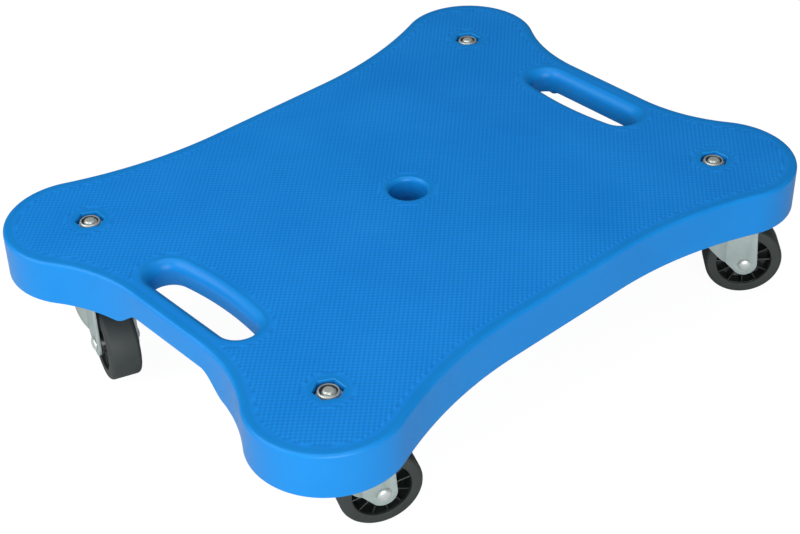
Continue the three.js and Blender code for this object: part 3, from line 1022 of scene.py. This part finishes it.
def forkSide():
    f = forkSizes
    radius, trail, height = f["endRadius"], f["trail"], f["axleHeight"]
    start, stop = [math.radians(angle) for angle in f["endAngles"]]
    legEnd = math.sqrt(f["crownRadius"] ** 2 - f["halfWidth"] ** 2)
    front, roof = -f["crownRadius"] - 1, f["crownTop"] + 1
    bm = bmesh.new()
    first = bm.verts.new((f["rear"], roof, 0))
    vert = straight(bm, first, trail + radius * math.cos(start), height + radius * math.sin(start))
    vert = arc(bm, vert, (trail, height), stop - start, f["endSteps"])
    # From the round end the foot runs up at 45 degrees, and bows up a little along the round skirt
    footLine = vert.co.x + vert.co.y
    for i in range(f["skirtSteps"]):
        t = (i + 1) / f["skirtSteps"]
        x = legEnd + (front - legEnd) * t
        vert = straight(bm, vert, x, footLine - x + f["skirtRise"] * math.sin(math.pi * t))
    vert = straight(bm, vert, front, roof)
    bm.edges.new((vert, first))
    raised(bm, -f["cutHalfWidth"], f["cutHalfWidth"])
    bmesh.ops.rotate(bm, verts=list(bm.verts), cent=(0, 0, 0), matrix=Matrix.Rotation(math.pi / 2, 3, "X"))
    return bm


def makeFork():
    f = forkSizes
    top, bend, cut = f["crownTop"], f["bendRadius"], f["cutHalfWidth"]
    stemSteps, axleSteps = f["holeSteps"]
    # Both plans run on past the rear, where the side view cuts them off
    body = combined(forkPlan(0, f["rear"] + 3, 0, top, bend), forkSide(), "INTERSECT")
    for tool in (
        forkPlan(f["sheet"], f["rear"] + 6, -1, top - f["crownThickness"], bend - f["sheet"]),
        prism(f["stemHole"], stemSteps, top - past, top + past),
        acrossFork(prism(f["axleHole"], axleSteps, -cut, cut), f["trail"], f["axleHeight"]),
    ):
        body = combined(body, tool, "DIFFERENCE")
    flatAngle = math.radians(0.5)    # flatter neighbours than this become one face again
    bmesh.ops.dissolve_limit(
        body, angle_limit=flatAngle, use_dissolve_boundaries=False,
        verts=list(body.verts), edges=list(body.edges), delimit=set())
    bevelEdges(body, sharpEdges(body, f["edgeAngle"]), f["edge"])
    return body


# Axle: a rivet with a domed head on each side, and the sleeve on which the wheel turns

axleSizes = {
    "radius": 3,
    "headRadius": 4.2,
    "headHeight": 2,
    "headEdge": 0.3,             # height at which the dome starts
    "headSteps": 8,
    "gap": 0.15,                 # between a head and the fork
    "steps": 48,
}

sleeveSizes = {
    "inner": 3.3,
    "outer": 4.2,
    "gap": 0.3,                  # between its end and the fork
    "rounding": 0.15,
    "steps": 48,
}


def makeAxle():
    a = axleSizes
    face = forkSizes["halfWidth"] + a["gap"]
    radius, height, edge = a["headRadius"], a["headHeight"], a["headEdge"]
    dome = [(radius * math.cos(t), face + edge + (height - edge) * math.sin(t))
            for t in anglesTo(math.pi / 2, a["headSteps"])[:-1]]
    half = [(a["radius"], face), (radius, face), *dome, (0, face + height)]
    return acrossFork(spun(mirroredSection(half), a["steps"]))


def makeSleeve():
    s = sleeveSizes
    half = forkSizes["halfWidth"] - forkSizes["sheet"] - s["gap"]
    return acrossFork(ringOf(s["inner"], s["outer"], -half, half, s["rounding"], s["steps"]))


# Wheel centre: hub, thin web, spokes and a crowned rim, moulded in one

wheelCentreSizes = {
    "rimOuter": 18.7,
    "rimInner": 16.9,
    "rimHalf": 8.3,
    "rimCrown": 1.2,
    "hubRadius": 6.8,
    "hubBore": 4.5,
    "hubHalf": 10.1,
    "webHalf": 1.2,
    "draft": 0.3,                # how far the hub and the rim thicken towards the web
    "edge": 0.25,
    "spokeCount": 12,
    "spokeThickness": 1,
    "spokeHalf": 7.9,
    "spokeSink": 0.8,            # how far each end runs into the hub and the rim
    "spokeRounding": 0.32,
    "spokeRoundingSteps": 3,
    "steps": 96,
}


def makeWheelCentre():
    w = wheelCentreSizes
    web, hub, half, bore = w["webHalf"], w["hubHalf"], w["rimHalf"], w["hubBore"]
    inner, outer, hubRadius, draft = w["rimInner"], w["rimOuter"], w["hubRadius"], w["draft"]
    body = spun([
        (bore, -hub), (hubRadius, -hub), (hubRadius + draft, -web), (inner - draft, -web),
        (inner, -half), (outer, -half), (outer + w["rimCrown"], 0), (outer, half), (inner, half),
        (inner - draft, web), (hubRadius + draft, web), (hubRadius, hub), (bore, hub)],
        w["steps"], w["edge"])
    spokes = bmesh.new()
    side, reach, sink = w["spokeThickness"] / 2, w["spokeHalf"], w["spokeSink"]
    for i in range(w["spokeCount"]):
        turn = Matrix.Rotation(2 * math.pi * i / w["spokeCount"], 4, "Z")
        addBox(spokes, (hubRadius - sink, -side, -reach), (inner + sink, side, reach), turn)
    bevelEdges(spokes, sharpEdges(spokes), w["spokeRounding"], w["spokeRoundingSteps"])
    return acrossFork(combined(body, spokes, "UNION"))


# Tyre: plain, with round shoulders, and on each side a thin lip that covers the face of the rim

tyreSizes = {
    "radius": 24,
    "halfWidth": 9.5,
    "shoulder": 2.6,
    "shoulderSteps": 6,
    "lipInner": 17.1,
    "lipThickness": 0.9,
    "lipEdge": 0.3,
    "gap": 0.3,                  # between the tyre and the rim
    "steps": 96,
}


def makeTyre():
    t = tyreSizes
    radius, face, shoulder = t["radius"], t["halfWidth"], t["shoulder"]
    lip, back, edge = t["lipInner"], face - t["lipThickness"], t["lipEdge"]
    inner = wheelCentreSizes["rimOuter"] + t["gap"]
    corner = [(radius - shoulder + shoulder * math.cos(a), face - shoulder + shoulder * math.sin(a))
              for a in anglesTo(math.pi / 2, t["shoulderSteps"])]
    half = [*corner, (lip + edge, face), (lip, face - edge), (lip, back), (inner, back)]
    crown = (inner + wheelCentreSizes["rimCrown"], 0)
    return acrossFork(spun([*mirroredSection(half), crown], t["steps"]))


# Casters

casterPlaces = {
    # place: signs of X and Y, and the degrees that the fork is turned from +X and the wheel on its axle
    "left_front": {"sign": (-1, -1), "yaw": -22.5, "roll": 12},
    "right_front": {"sign": (1, -1), "yaw": -43.4, "roll": 2},
    "left_back": {"sign": (-1, 1), "yaw": -108.7, "roll": 9},
    "right_back": {"sign": (1, 1), "yaw": 128, "roll": 20},
}

casterPieces = {
    # node: (maker, material, slot, body)
    "stem": (makeStem, zincBolt, "bright_steel", "deck"),
    "lock_nut": (makeNut, zincBolt, "bright_steel", "deck"),
    "nut_insert": (makeInsert, nylon, "nylon", "deck"),
    "washer": (makeWasher, zincSheet, "zinc_steel", "deck"),
    "bearing_cap": (makeCap, zincSheet, "zinc_steel", "deck"),
    "bearing_balls": (makeBalls, zincBolt, "bright_steel", "deck"),
    "thrust_ring": (makeThrustRing, nylon, "nylon", "deck"),
    "lower_race": (makeRace, zincSheet, "zinc_steel", "deck"),
    "fork": (makeFork, zincSheet, "zinc_steel", "fork"),
    "axle": (makeAxle, zincBolt, "bright_steel", "fork"),
    "axle_sleeve": (makeSleeve, zincSheet, "zinc_steel", "fork"),
    "wheel_centre": (makeWheelCentre, polypropylene, "hub_plastic", "wheel"),
    "tyre": (makeTyre, rubber, "tyre_rubber", "wheel"),
}


def pieceName(node, place):
    words = f"{place}_{node}".split("_")
    return words[0] + "".join(word.capitalize() for word in words[1:])


def makeCasters():
    toAxle = Matrix.Translation((forkSizes["trail"], 0, forkSizes["axleHeight"]))
    for node, (maker, material, slot, body) in casterPieces.items():
        pattern = meshOf(maker(), node, [material])
        for place, p in casterPlaces.items():
            x, y = (sign * distance for sign, distance in zip(p["sign"], deckSizes["caster"]))
            matrix = Matrix.Translation((x, y, 0))
            if body != "deck":
                matrix = matrix @ Matrix.Rotation(math.radians(p["yaw"]), 4, "Z")
            if node != "fork" and body != "deck":
                matrix = matrix @ toAxle
            if body == "wheel":
                matrix = matrix @ Matrix.Rotation(math.radians(-p["roll"]), 4, "Y")
            rides = body if body == "deck" else f"{body}_{place}"
            placePiece(pieceName(node, place), pattern.copy(), matrix, rides, f"{node}_{place}")
        bpy.data.meshes.remove(pattern)
        print("caster pieces:", node)


makeCasters()


# Floor and light

studio = {
    "floor": "#d4d4d4",
    "floorSize": 12,
    "cameraWhite": 0.85,         # share of plain white in what the camera sees of the floor
    "plainWhite": 1.12,          # strength of that white, and of the background
    "worldStrength": 0.15,
    "worldInReflections": 0.05,
    "lampTarget": (0, 0, 0.08),
    "lamps": {
        # name: (place, size, power)
        "left": ((-1.35, 0.55, 1.05), 1.4, 22.5),
        "front": ((-1.25, -1.88, 0.6), 1.6, 58),
        "above": ((-0.3, -0.3, 2.2), 1.6, 14.5),
    },
}


def makeFloor(setup):
    material = newMaterial("paleFloor")
    diffuse = addNode(material, "ShaderNodeBsdfDiffuse", {}, {"Color": linear(setup["floor"])})
    white = addNode(material, "ShaderNodeEmission", {}, {
        "Color": (1, 1, 1, 1), "Strength": setup["plainWhite"]})
    rays = addNode(material, "ShaderNodeLightPath")
    share = addNode(material, "ShaderNodeMath", {"operation": "MULTIPLY"}, {
        0: rays.outputs["Is Camera Ray"], 1: setup["cameraWhite"]})
    surface = addNode(material, "ShaderNodeMixShader", {}, {
        0: share.outputs[0], 1: diffuse.outputs[0], 2: white.outputs[0]})
    addNode(material, "ShaderNodeOutputMaterial", {}, {"Surface": surface.outputs[0]})
    bm = bmesh.new()
    bmesh.ops.create_grid(bm, x_segments=1, y_segments=1, size=setup["floorSize"] / 2)
    floor = bpy.data.objects.new("floor", meshOf(bm, "floor", [material]))
    scene.collection.objects.link(floor)


def makeLights(setup):
    world = bpy.data.worlds.new("studio")
    scene.world = world
    world.use_nodes = True
    background = world.node_tree.nodes["Background"]
    background.inputs["Color"].default_value = (1, 1, 1, 1)
    rays = addNode(world, "ShaderNodeLightPath")
    light = addNode(world, "ShaderNodeMapRange", {}, {
        "Value": rays.outputs["Is Glossy Ray"],
        "To Min": setup["worldStrength"], "To Max": setup["worldInReflections"]})
    strength = addNode(world, "ShaderNodeMapRange", {}, {
        "Value": rays.outputs["Is Camera Ray"],
        "To Min": light.outputs["Result"], "To Max": setup["plainWhite"]})
    world.node_tree.links.new(strength.outputs["Result"], background.inputs["Strength"])
    target = Vector(setup["lampTarget"])
    for name, (place, size, power) in setup["lamps"].items():
        data = bpy.data.lights.new(name, "AREA")
        data.size = size
        data.energy = power
        lamp = bpy.data.objects.new(name, data)
        lamp.location = place
        lamp.rotation_euler = (Vector(place) - target).to_track_quat("Z", "Y").to_euler()
        scene.collection.objects.link(lamp)


makeFloor(studio)
makeLights(studio)
print("floor and lights made")
